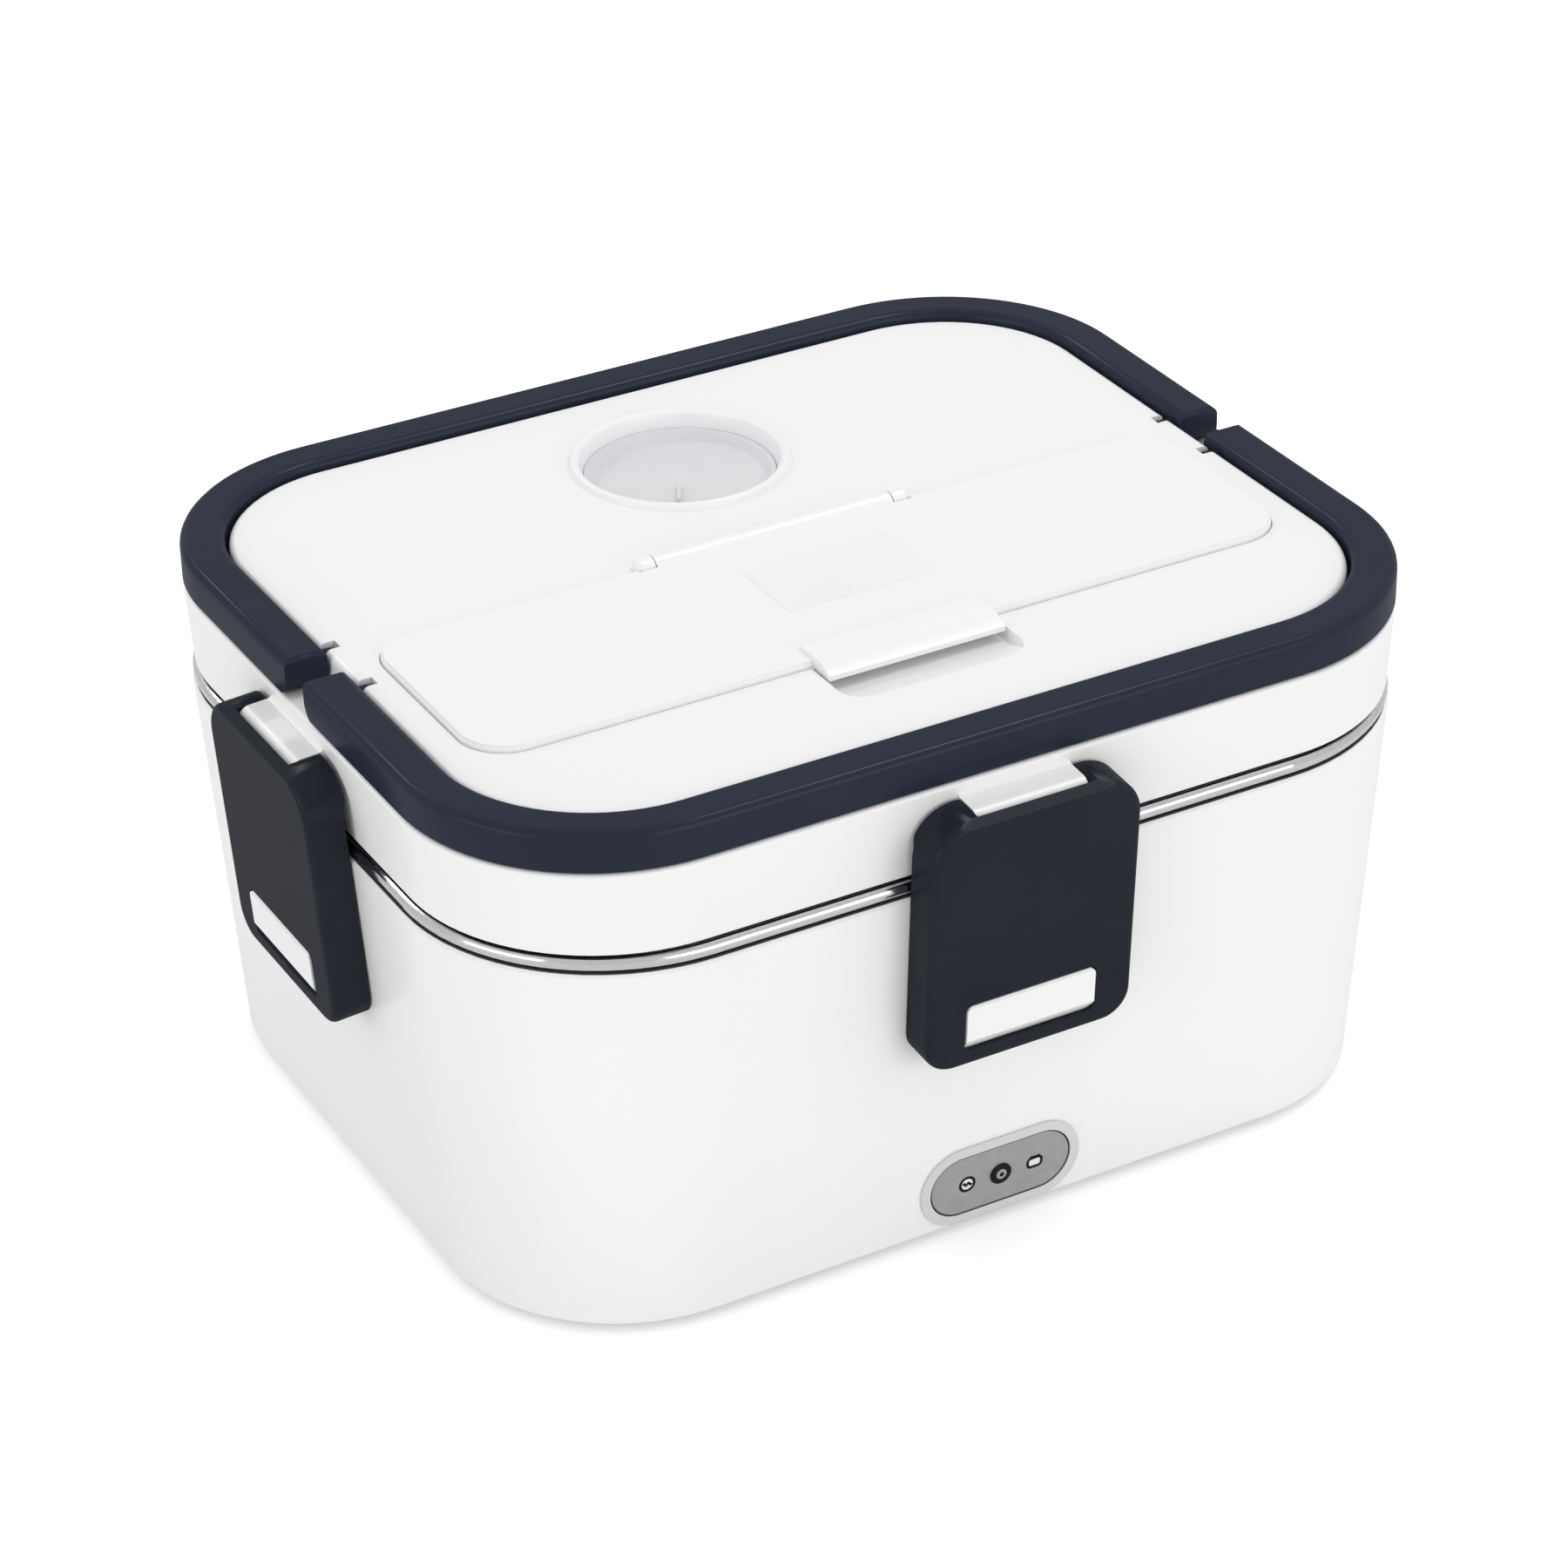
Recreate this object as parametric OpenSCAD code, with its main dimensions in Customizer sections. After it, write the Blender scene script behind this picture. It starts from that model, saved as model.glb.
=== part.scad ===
// Electric lunch box: a heated base with a lift-out steel pot and a clamp-down lid.
// Millimetres, +Z up. The origin is on the table, under the middle of the box.
// +X runs along the long side, and the control panel faces -Y.

/* [Base] */
// Outside length of the base at its top rim
body_len = 235.6; // [225:0.1:260]
// Outside depth of the base at its top rim
body_dep = 195.2; // [185:0.1:215]
// Height of the base shell, without its feet
body_h = 91.8; // [85:0.1:110]
// Corner radius of the base at its top rim
body_r = 47.8; // [44:0.1:52]
// Wall thickness of the base shell
body_wall = 2.4; // [2:0.1:3]
// How far each side leans in from the rim to the bottom
body_draft = 6.1; // [4:0.1:7]
// Height of the rubber feet below the shell
foot_h = 2; // [1.5:0.1:4]
// Radius of a rubber foot
foot_r = 7; // [5:0.5:9]
// Thickness of the bottom cover
cover_plate_t = 2.4; // [2:0.1:3]

/* [Heater] */
// Height of the heating plate's top above the table
hot_z = 24; // [23:0.5:28]
// Wall thickness of the inner tub
tub_wall = 1.8; // [1.5:0.1:2.2]
// Length of the heating plate's raised face
hot_len = 126; // [110:1:140]
// Depth of the heating plate's raised face
hot_dep = 90; // [80:1:100]
// Thickness of the heater block under the plate
ptc_t = 5; // [4:0.5:5.5]
// Length of the heater block
ptc_len = 70; // [60:1:76]
// Depth of the heater block
ptc_dep = 34; // [28:1:36]

/* [Pot] */
// Sheet thickness of the steel pot
pot_t = 0.8; // [0.6:0.1:1.2]
// Radius of the pot's rolled rim
bead_r = 1.6; // [1.3:0.1:1.9]
// Gap between the pot and the tub round it
pot_gap = 0.9; // [0.6:0.1:1.5]

/* [Lid] */
// Outside length of the lid at its top edge
lid_len = 235; // [225:0.1:259]
// Outside depth of the lid at its top edge
lid_dep = 194.4; // [185:0.1:214]
// Corner radius of the lid
lid_r = 45.5; // [42:0.1:50]
// Height of the seam between the base and the lid skirt
seam_h = 4.6; // [4:0.1:5.5]
// Height of the lid skirt, up to the ledge of the handles
skirt_h = 19.3; // [18:0.1:24]
// How far the skirt leans in towards its lower edge
skirt_draft = 1.1; // [0.5:0.1:1.5]
// Height of the raised panel above the ledge
panel_rise = 7.7; // [7.5:0.1:9]
// Wall thickness of the lid shell
lid_wall = 2.4; // [2:0.1:3]

/* [Handles] */
// Width of a handle bar, seen from above
bail_w = 10; // [9:0.1:11]
// Thickness of a handle bar
bail_t = 9.3; // [8.5:0.1:10]
// Gap between the two handles' ends
bail_gap = 9.4; // [8:0.1:12]
// Radius of a handle's pivot peg
peg_r = 2; // [1.5:0.1:2.2]

/* [Latches] */
// Width of a latch
latch_w = 50.5; // [44:0.5:56]
// Height of a latch
latch_h = 61.4; // [56:0.1:66]
// Thickness of a latch's front plate
latch_plate_t = 2.5; // [2.2:0.1:2.8]
// Radius of the lid's lug round a latch's hinge line
barrel_r = 2.75; // [2.6:0.05:2.9]
// Width of the lid's lug between the latch's ears
lug_w = 26.8; // [20:0.2:30]
// Radius of a latch's hinge stub
stub_r = 1.5; // [1.2:0.1:1.6]
// Width of the catch that shows in a latch's window
catch_w = 31.4; // [24:0.2:34]
// Height of the catch
catch_h = 8.7; // [7:0.1:9.5]

/* [Cutlery bay] */
// Length of the bay's cover
cover_len = 198; // [180:1:204]
// Depth of the bay's cover
cover_dep = 57; // [50:1:60]
// Thickness of the bay's cover
cover_t = 2.2; // [1.8:0.1:2.6]
// Distance from the middle of the lid back to the cover's hinge line
hinge_y = 5; // [3:0.5:8]
// Depth of the cutlery bay below the panel
bay_depth = 17; // [14:0.5:18]
// Radius of the cover's hinge pin
pin_r = 1; // [0.8:0.1:1.2]

/* [Steam vent] */
// Outside radius of the raised vent ring
vent_r = 25.5; // [23:0.5:27]
// Radius of the silicone plug
plug_r = 22; // [18:0.1:22.2]
// Distance from the middle of the lid back to the vent
vent_y = 48; // [44:0.5:52]

/* [Control panel] */
// Width of the panel's bezel
bezel_w = 40; // [34:0.5:46]
// Height of the panel's bezel
bezel_h = 20; // [17:0.5:20.5]
// Width of the bezel's rim round the silver plate
bezel_rim = 2.3; // [1.8:0.1:3]
// Radius of the lamp's black ring
lamp_r = 2.6; // [2:0.1:3]

/* [Hidden] */
$fn = 72;

white = [0.93, 0.93, 0.93];
navy = [0.17, 0.19, 0.24];
steel = [0.75, 0.76, 0.77];
grey = [0.6, 0.6, 0.6];

fit = 0.3;          // gap between pieces that lie side by side
run = 0.06;         // radial gap of a pin that turns in its bore
eps = 0.01;
through = 12;       // length of a cut that goes through a side wall
foot_edge = 0.8;    // rounding of the base's lower edge
rim_edge = 0.6;     // rounding of the base's upper edge

// --- base: corner centres, heights and the lean of its walls
base_x = body_len / 2 - body_r;
base_y = body_dep / 2 - body_r;
base_z = foot_h;
rim_z = base_z + body_h;
lean = atan(body_draft / body_h);
function body_rad(z) = body_r - body_draft * (rim_z - z) / body_h;

// --- tub and pot, on the base's corner centres
seat_w = 6;                                  // width of the shell's inner seat
flange_t = 1.6;                              // thickness of the tub's flange
tub_r = body_r - body_wall - seat_w + 0.6;   // outside of the tub wall at its top
tub_draft = 5;                               // how far the tub leans in to its floor
tub_in = tub_r - tub_wall;
pot_out = tub_in - pot_gap;
pot_in = pot_out - pot_t;
floor_t = 2;                                 // thickness of the tub's floor

// --- lid: corner centres and heights
lid_x = lid_len / 2 - lid_r;
lid_y = lid_dep / 2 - lid_r;
skirt_z = rim_z + seam_h;
ledge_z = skirt_z + skirt_h;
panel_z = ledge_z + panel_rise;
panel_gap = 0.8;                             // gap between a handle and the panel's wall
panel_r = lid_r - bail_w - panel_gap;
shoulder_z = skirt_z + 5.1;                  // inner shoulder that the liner meets
liner_z = skirt_z + 1.1;
liner_t = 2;
liner_r = lid_r - skirt_draft - lid_wall - 0.2;
gasket_out = pot_in + 4.5;
bead_up = 0.5;                               // gap under the pot's rolled rim

// --- handles
bail_z = ledge_z + fit;
pivot_z = bail_z + bail_t / 2;
pivot_y = bail_gap / 2 + bail_t / 2;
peg_len = panel_gap + lid_wall - 0.3;

SIDES = ["front", "right", "rear", "left"];

// --- latches, in a frame at the hinge with +z up along the leaning wall
axis_out = 5;                                // hinge line outside the lid's edge
axis_z = skirt_z + 13;
latch_up = barrel_r - 0.05;                  // from the hinge line up to the latch's top
latch_drop = latch_h - latch_up;             // from the hinge line down to the lower edge
plate_back = barrel_r + 0.25;                // back of the front plate, outside the hinge line
plate_front = plate_back + latch_plate_t;
latch_back = axis_out - 1.9;                 // reach of the latch's sides back to the base
ear_in = lug_w / 2 + fit;
ear_back = axis_out - 0.7;                   // reach of the ears back to the skirt
ear_low = 3.5;                               // from the hinge line down to the ears' underside
catch_tip = plate_front + 0.3;
catch_bottom = -latch_drop + 6.6;
catch_slope = 1.5;                           // fall of the catch's underside per length inwards
catch_clear = 0.4;
lip_t = 1.1;                                 // thickness of the latch where it hooks under the catch
window_r = 1.8;                              // corners of the latch's window
window_low = catch_bottom - 2.5;
window_high = catch_bottom + catch_h + catch_clear;

// --- cutlery bay and its cover
seat_d = 0.8;                                // how far the cover sinks into the panel
cover_z = panel_z - seat_d;
cover_mid = hinge_y - cover_dep / 2;
hinge_z = panel_z + 0.2;
knuckle_r = 2.6;
knuckle_len = 60;
cheek_w = 4;
bay_rim = 4.5;                               // width of the panel left under the cover's edge
bay_wall = 1.8;
bay_r = 8;
cover_r = 11;
tab_w = 43;
tab_out = 6.5;                               // reach of the finger tab beyond the cover
tab_in = 6.5;                                // reach of the tab back over the cover
tab_up = 1;                                  // height of the tab above the cover
scoop_front = hinge_y - cover_dep - 17;      // front of the finger scoop under the tab
scoop_len = 17;
scoop_depth = 2.6;
pin_half = knuckle_len / 2 + cheek_w - 1;

// --- steam vent
ring_up = 1.5;                               // height of the vent ring above the panel
ring_z = panel_z + ring_up;
plug_t = 3.5;
plug_slots = [-174, -120, -72];              // directions of the plug's steam slots
well_z = panel_z - 6.3;
vent_wall = 2.2;

// --- control panel, in a frame on the leaning front wall
panel_mid_z = base_z + 1.1 + bezel_h / 2;
bezel_out = 0.7;                             // how far the bezel stands proud
plate_w = bezel_w - 2 * bezel_rim;           // opening of the bezel
plate_h = bezel_h - 2 * bezel_rim;
panel_hole_w = plate_w + 1.4;                // hole in the shell behind the bezel
panel_hole_h = plate_h + 1.4;

// --- power inlet at the back
inlet_z = base_z + 11.5;
inlet_w = 16;
inlet_h = 8.6;
inlet_depth = 12;
inlet_wall = 2;
inlet_pin_r = 1.2;
inlet_pitch = 8.6;

// --- screws, posts and feet
post_x = base_x + 22;
post_y = base_y + 8;
post_r = 4;
screw_r = 1.5;
screw_head_r = 3;
screw_head_h = 1.49;
foot_stem_r = 2.5;                           // hole in the bottom cover for a foot's stem
cover_bottom = base_z + 0.4;
cover_top = cover_bottom + cover_plate_t;
foot_x = base_x + 14;
foot_y = base_y + 24;

// --- heater stack under the plate
plate_flange = 4;
plate_flange_t = 1.6;
under_z = hot_z - floor_t - plate_flange_t;  // underside of the heating plate
ptc_z = under_z - ptc_t;
clamp_t = 1;
clamp_x = ptc_len / 2 + 9;
tag_x = 20;                                  // place of the heater's two tags
boss_r = 4;

// Points along an arc, centre, radius, first and last angle
function arc(c, r, a0, a1, n = 8) =
    [for (i = [0:n]) let (a = a0 + (a1 - a0) * i / n) c + r * [cos(a), sin(a)]];

// Extrudes a profile along Y, at x = reach
module straight_run(reach, len)
    translate([reach, 0, 0]) rotate([90, 0, 0]) linear_extrude(len, center = true) children();

// Carries a profile (x outward from the corner centre, y up) round a rounded rectangle
module rim_sweep(hx, hy) {
    for (q = [0:3]) {
        sx = (q == 0 || q == 3) ? 1 : -1;
        sy = q < 2 ? 1 : -1;
        translate([sx * hx, sy * hy, 0]) rotate(90 * q) rotate_extrude(angle = 90) children();
    }
    for (s = [0, 180]) {
        rotate(s) straight_run(hx, 2 * hy) children();
        rotate(s + 90) straight_run(hy, 2 * hx) children();
    }
}

// Flat slab with rounded corners, from its corner centres
module slab(hx, hy, r, z, h) {
    translate([-hx - r, -hy, z]) cube([2 * (hx + r), 2 * hy, h]);
    translate([-hx, -hy - r, z]) cube([2 * hx, 2 * (hy + r), h]);
    for (sx = [-1, 1], sy = [-1, 1]) translate([sx * hx, sy * hy, z]) cylinder(r = r, h = h);
}

// Slab from its overall size
module plate(len, dep, r, z, h) slab(len / 2 - r, dep / 2 - r, r, z, h);

// Bar with round ends, its thickness along Y, from y = y0 to y0 + t
module stadium(w, h, y0, t) {
    r = h / 2;
    translate([-w / 2 + r, y0, -r]) cube([w - h, t, h]);
    for (s = [-1, 1]) translate([s * (w / 2 - r), y0, 0]) rotate([-90, 0, 0]) cylinder(r = r, h = t);
}

// Cylinder along X
module rod(r, x0, x1) translate([x0, 0, 0]) rotate([0, 90, 0]) cylinder(r = r, h = x1 - x0);

// Puts a piece drawn for the front (-Y) on one of the four sides
module on_side(name) {
    turn = name == "front" ? 0 : name == "right" ? 90 : name == "rear" ? 180 : -90;
    reach = (name == "front" || name == "rear") ? lid_dep / 2 : lid_len / 2;
    rotate(turn) translate([0, -reach - axis_out, axis_z]) rotate([lean, 0, 0]) children();
}

// Extrudes a profile (outward, up) along X, in the middle or from x0 to x1
module across(w) rotate([90, 0, -90]) linear_extrude(w, center = true) children();
module across_from(x0, x1) translate([(x0 + x1) / 2, 0, 0]) across(x1 - x0) children();

// Puts a piece drawn upright on the leaning front wall
module on_front_wall(z) translate([0, -base_y - body_rad(z), z]) rotate([lean, 0, 0]) children();

// Round tube along hand-placed points, rounded by a cubic curve between them
function spline(p, i, t) =
    let (a = p[max(i - 1, 0)], b = p[i], c = p[i + 1], d = p[min(i + 2, len(p) - 1)])
    0.5 * (2 * b + (c - a) * t + (2 * a - 5 * b + 4 * c - d) * t * t + (3 * b - a - 3 * c + d) * t * t * t);
module lead(points, r, steps = 4, sides = 8) {
    n = (len(points) - 1) * steps;
    path = [for (k = [0:n]) k == n ? points[len(points) - 1] :
        spline(points, floor(k / steps), (k % steps) / steps)];
    rings = [for (k = [0:n])
        let (d = path[min(k + 1, n)] - path[max(k - 1, 0)], t = d / norm(d),
             u = cross(t, [0, 0, 1]), a = u / norm(u), b = cross(a, t))
        for (s = [0:sides - 1]) path[k] + r * (cos(360 * s / sides) * a + sin(360 * s / sides) * b)];
    faces = concat(
        [[for (s = [0:sides - 1]) s]],
        [for (k = [0:n - 1], s = [0:sides - 1]) let (a = k * sides, b = a + sides, next = (s + 1) % sides)
            [a + s, b + s, b + next, a + next]],
        [[for (s = [sides - 1:-1:0]) n * sides + s]]);
    polyhedron(rings, faces);
}

// ---------------------------------------------------------------- base

module outer_shell() color(white) {
    foot_r1 = body_rad(base_z);
    seat_z = rim_z - flange_t;
    seat_in = body_r - body_wall - seat_w + 1;
    difference() {
        union() {
            rim_sweep(base_x, base_y) polygon([
                [foot_r1 - body_wall, base_z], [foot_r1 - foot_edge, base_z],
                [body_rad(base_z + foot_edge), base_z + foot_edge],
                [body_rad(rim_z - rim_edge), rim_z - rim_edge], [body_r - rim_edge, rim_z],
                [body_r - body_wall, rim_z], [body_r - body_wall, seat_z],
                [seat_in, seat_z], [seat_in, seat_z - 2], [body_rad(seat_z - 5) - body_wall, seat_z - 5]]);
            for (s = SIDES) on_side(s) latch_catch();
        }
        on_front_wall(panel_mid_z) stadium(panel_hole_w, panel_hole_h, -through / 2, through);
        rotate(180) on_front_wall(inlet_z)
            stadium(inlet_w + 2 * inlet_wall + 0.4, inlet_h + 2 * inlet_wall + 0.4, -through / 2, through);
    }
}

// Catch moulded on the base, with a sloped underside that the latch slides off
module latch_catch() {
    top = catch_bottom + catch_h;
    root = catch_bottom - catch_slope * (catch_tip - plate_back);
    front = plate_front - lip_t - 0.3;
    front_low = window_low + catch_clear;
    corner_r = window_r - catch_clear;
    intersection() {
        across(catch_w) polygon([
            [-latch_back - 1.6, root], [plate_back, root], [catch_tip, catch_bottom],
            [catch_tip, top - 0.5], [catch_tip - 0.5, top], [-latch_back - 1.6, top]]);
        rotate([90, 0, 0]) union() {
            translate([0, (root + top) / 2, 0])
                plate(catch_w, top - root, corner_r, -through, through + front);
            translate([0, (front_low + top) / 2, 0])
                plate(catch_w, top - front_low, corner_r, front - eps, catch_tip);
        }
    }
}

module base_cover() color(white) difference() {
    slab(base_x, base_y, body_rad(base_z) - body_wall - 0.2, cover_bottom, cover_plate_t);
    for (sx = [-1, 1], sy = [-1, 1]) {
        translate([sx * post_x, sy * post_y, base_z]) cylinder(r = screw_r + 0.2, h = 2 * cover_plate_t);
        translate([sx * post_x, sy * post_y, base_z - eps])
            cylinder(r = screw_head_r + 0.2, h = screw_head_h + 0.11);
        translate([sx * foot_x, sy * foot_y, base_z]) cylinder(r = foot_stem_r, h = 2 * cover_plate_t);
    }
}

module rubber_feet() color([0.2, 0.2, 0.2]) for (sx = [-1, 1], sy = [-1, 1])
    translate([sx * foot_x, sy * foot_y, 0]) {
        rotate_extrude() polygon([
            [0, 0], [foot_r - 1, 0], [foot_r, 1], [foot_r, cover_bottom], [0, cover_bottom]]);
        cylinder(r = foot_stem_r - 0.1, h = cover_top);
        translate([0, 0, cover_top]) cylinder(r1 = foot_stem_r + 0.7, r2 = foot_stem_r - 0.3, h = 1.5);
    }

module base_screws() color(steel) for (sx = [-1, 1], sy = [-1, 1])
    translate([sx * post_x, sy * post_y, base_z + 0.1]) difference() {
        union() {
            cylinder(r = screw_head_r, h = screw_head_h);
            cylinder(r = screw_r - 0.02, h = 9);
        }
        for (a = [0, 90]) rotate(a) translate([-2, -0.4, -eps]) cube([4, 0.8, 0.8]);
    }

module inner_tub() color([0.88, 0.88, 0.88]) {
    floor_r = tub_r - tub_draft;
    floor_z = hot_z - floor_t;
    difference() {
        union() {
            rim_sweep(base_x, base_y) polygon([
                [floor_r - 8, floor_z], [floor_r - 3, floor_z], [floor_r, floor_z + 3],
                [tub_r, rim_z - flange_t], [body_r - body_wall - 0.2, rim_z - flange_t],
                [body_r - body_wall - 0.2, rim_z], [tub_in, rim_z],
                [floor_r - tub_wall, hot_z + 2], [floor_r - tub_wall - 2, hot_z], [floor_r - 8, hot_z]]);
            slab(base_x, base_y, floor_r - 7.9, floor_z, floor_t);
            for (sx = [-1, 1], sy = [-1, 1])
                translate([sx * post_x, sy * post_y, cover_top])
                    cylinder(r = post_r, h = floor_z - cover_top + 1);
        }
        plate(hot_len + 0.6, hot_dep + 0.6, 12.3, floor_z - 1, floor_t + 2);
        for (sx = [-1, 1], sy = [-1, 1])
            translate([sx * post_x, sy * post_y, base_z]) cylinder(r = screw_r, h = 12);
    }
}

module heating_plate() color(steel) difference() {
    union() {
        plate(hot_len, hot_dep, 12, hot_z - floor_t - eps, floor_t + eps);
        plate(hot_len + 2 * plate_flange, hot_dep + 2 * plate_flange, 14, under_z, plate_flange_t);
        for (s = [-1, 1]) translate([s * clamp_x, 0, ptc_z]) cylinder(r = boss_r, h = ptc_t + 0.5);
    }
    for (s = [-1, 1]) translate([s * clamp_x, 0, ptc_z - 1]) cylinder(r = 1.25, h = ptc_t);
}

module ptc_heater() color([0.7, 0.62, 0.5]) {
    plate(ptc_len, ptc_dep, 2, ptc_z, ptc_t);
    for (s = [-1, 1]) translate([s * tag_x - 2, ptc_dep / 2 - 0.5, ptc_z + 1]) cube([4, 6, 0.8]);
}

module heater_clamp() color(grey) difference() {
    plate(2 * clamp_x + 12, 14, 3, ptc_z - clamp_t, clamp_t);
    for (s = [-1, 1]) translate([s * clamp_x, 0, 0]) cylinder(r = 1.5, h = hot_z);
}

module heater_screws() color(steel) for (s = [-1, 1]) translate([s * clamp_x, 0, ptc_z - clamp_t - 1.4]) {
    cylinder(r = 2.6, h = 1.4);
    cylinder(r = 1.24, h = ptc_t + 0.5);
}

module thermostat() color([0.25, 0.2, 0.18]) {
    translate([0, 33, under_z - 6]) cylinder(r = 8, h = 4.5);
    translate([0, 33, under_z - 1.5]) cylinder(r = 7, h = 1.5);
    for (s = [-1, 1]) translate([5.5 * s - 1.5, 32.6, under_z - 9]) cube([3, 0.8, 3.1]);
}

module thermal_fuse() color(steel) translate([0, -28, under_z - 2.2]) {
    rod(2.2, -7, 7);
    rod(0.6, -12, 12);
}

module inlet_housing() color([0.15, 0.15, 0.16]) rotate(180) on_front_wall(inlet_z) difference() {
    union() {
        stadium(inlet_w + 2 * inlet_wall, inlet_h + 2 * inlet_wall, 0, inlet_depth + 2);
        stadium(inlet_w + 2 * inlet_wall + 4, inlet_h + 2 * inlet_wall + 3, -0.8, 0.8);
    }
    stadium(inlet_w, inlet_h, -1, inlet_depth + 1);
    for (s = [-1, 1])
        translate([s * inlet_pitch / 2, 0, 0])
            rotate([-90, 0, 0]) cylinder(r = inlet_pin_r, h = 2 * inlet_depth);
}

module inlet_pins() color(steel) rotate(180) on_front_wall(inlet_z)
    for (s = [-1, 1]) translate([s * inlet_pitch / 2, 3, 0]) rotate([-90, 0, 0]) {
        translate([0, 0, 0.6]) cylinder(r = inlet_pin_r - 0.01, h = inlet_depth + 2);
        cylinder(r1 = 0.7, r2 = inlet_pin_r - 0.01, h = 0.6);
    }

// Leads inside the base: hand-placed points, with ends on the pieces they join
lead_r = 1;
inlet_back = base_y + body_rad(inlet_z) - inlet_depth - 5.9;
inlet_end_z = inlet_z + (inlet_depth + 5.8) * sin(lean);
stat_z = under_z - 10.1;
tab_lead_z = ptc_z - 0.1;
fuse_z = under_z - 2.2;

module live_lead() color([0.6, 0.2, 0.15]) lead([
    [-inlet_pitch / 2, inlet_back, inlet_end_z],
    [-inlet_pitch / 2, inlet_back - 3, inlet_end_z + 3 * sin(lean)],
    [-5.5, inlet_back - 8, inlet_end_z - 0.6], [-8, 58, 11.5],
    [-8, 46, 10.5], [-6, 38, stat_z], [-5.5, 34, stat_z], [-5.5, 31, stat_z]], lead_r);

module neutral_lead() color([0.2, 0.3, 0.6]) lead([
    [inlet_pitch / 2, inlet_back, inlet_end_z],
    [inlet_pitch / 2, inlet_back - 3, inlet_end_z + 3 * sin(lean)],
    [9, inlet_back - 8, inlet_end_z - 0.6], [26, 60, 11],
    [46, 40, 10], [54, 12, 9.5], [46, -16, 10], [28, -27, 14], [17, -28, 17.6],
    [12.1, -28, fuse_z]], lead_r);

module heater_leads() color([0.85, 0.85, 0.82]) {
    lead([[5.5, 34.5, stat_z], [5.5, 31, stat_z], [11, 27, 11], [18, 25.5, 12.5], [20, 23.5, 14.4],
        [20, 20.5, tab_lead_z]], lead_r);
    lead([[-12.1, -28, fuse_z], [-18, -28.5, 17.4], [-32, -27, 13], [-50, -14, 10.5], [-54, 2, 10],
        [-42, 20, 10.5], [-26, 26, 12.5], [-20, 23.5, 14.4], [-20, 20.5, tab_lead_z]], lead_r);
}

module lamp_lead() color([0.8, 0.8, 0.75]) lead([
    [0, -17.8, 17.5], [0, -20.8, 15.6], [-1, -25, 11.5], [-2, -32, 9.5], [-5, -45, 9], [-8, -60, 9.5],
    [-9, -72, 10], [-8, -80, 12], [-8, -base_y - body_rad(panel_mid_z) + body_wall + 2.3, 13.2]], lead_r);

// ---------------------------------------------------------------- control panel

module panel_bezel() color([0.86, 0.86, 0.86]) on_front_wall(panel_mid_z) difference() {
    union() {
        stadium(bezel_w, bezel_h, -bezel_out, bezel_out);
        stadium(plate_w + 1, plate_h + 1, -0.2, body_wall + 0.8);
    }
    stadium(plate_w, plate_h, -1, 1.6);
    stadium(plate_w - 2, plate_h - 2, 0, through / 2);
}

module panel_plate() color([0.6, 0.6, 0.6]) on_front_wall(panel_mid_z) difference() {
    stadium(plate_w - 0.2, plate_h - 0.2, -0.4, 1);
    rotate([-90, 0, 0]) translate([0, 0, -2]) cylinder(r = lamp_r - 0.5, h = 5);
}

module lamp_lens() color([0.1, 0.1, 0.1]) on_front_wall(panel_mid_z) rotate([90, 0, 0]) {
    stem_r = lamp_r - 0.55;
    rotate_extrude() polygon([
        [0, -2.6], [stem_r, -2.6], [stem_r, 0.4], [lamp_r, 0.4], [lamp_r, 0.75], [lamp_r - 0.3, 1],
        [1.5, 1], [1.3, 0.8], [0, 0.9]]);
}

module lamp_board() color([0.1, 0.4, 0.25]) on_front_wall(panel_mid_z) {
    translate([-plate_w / 2, body_wall + 0.8, -4]) cube([plate_w, 1.2, 8]);
    translate([0, body_wall + 0.85, 0]) rotate([90, 0, 0]) cylinder(r = 1.2, h = 0.4);
}

// ---------------------------------------------------------------- pot

module inner_pot() color(steel) {
    foot = pot_out - tub_draft;
    r0 = 12;
    wall_z = hot_z + r0;
    bead_c = [body_r - 0.2 - bead_r, rim_z + bead_r + bead_up];
    rim_sweep(base_x, base_y) polygon(concat(
        [[foot - r0 - 1, hot_z]], arc([foot - r0, wall_z], r0, -90, 0),
        [[pot_out, rim_z], [bead_c[0] - 0.9, rim_z]], arc(bead_c, bead_r, -110, 150, 14),
        [[bead_c[0] - 1.4, rim_z + pot_t], [pot_in, rim_z + pot_t]],
        arc([foot - r0, wall_z], r0 - pot_t, 0, -90), [[foot - r0 - 1, hot_z + pot_t]]));
    slab(base_x, base_y, foot - r0 - 0.9, hot_z, pot_t);
}

// ---------------------------------------------------------------- lid

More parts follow.
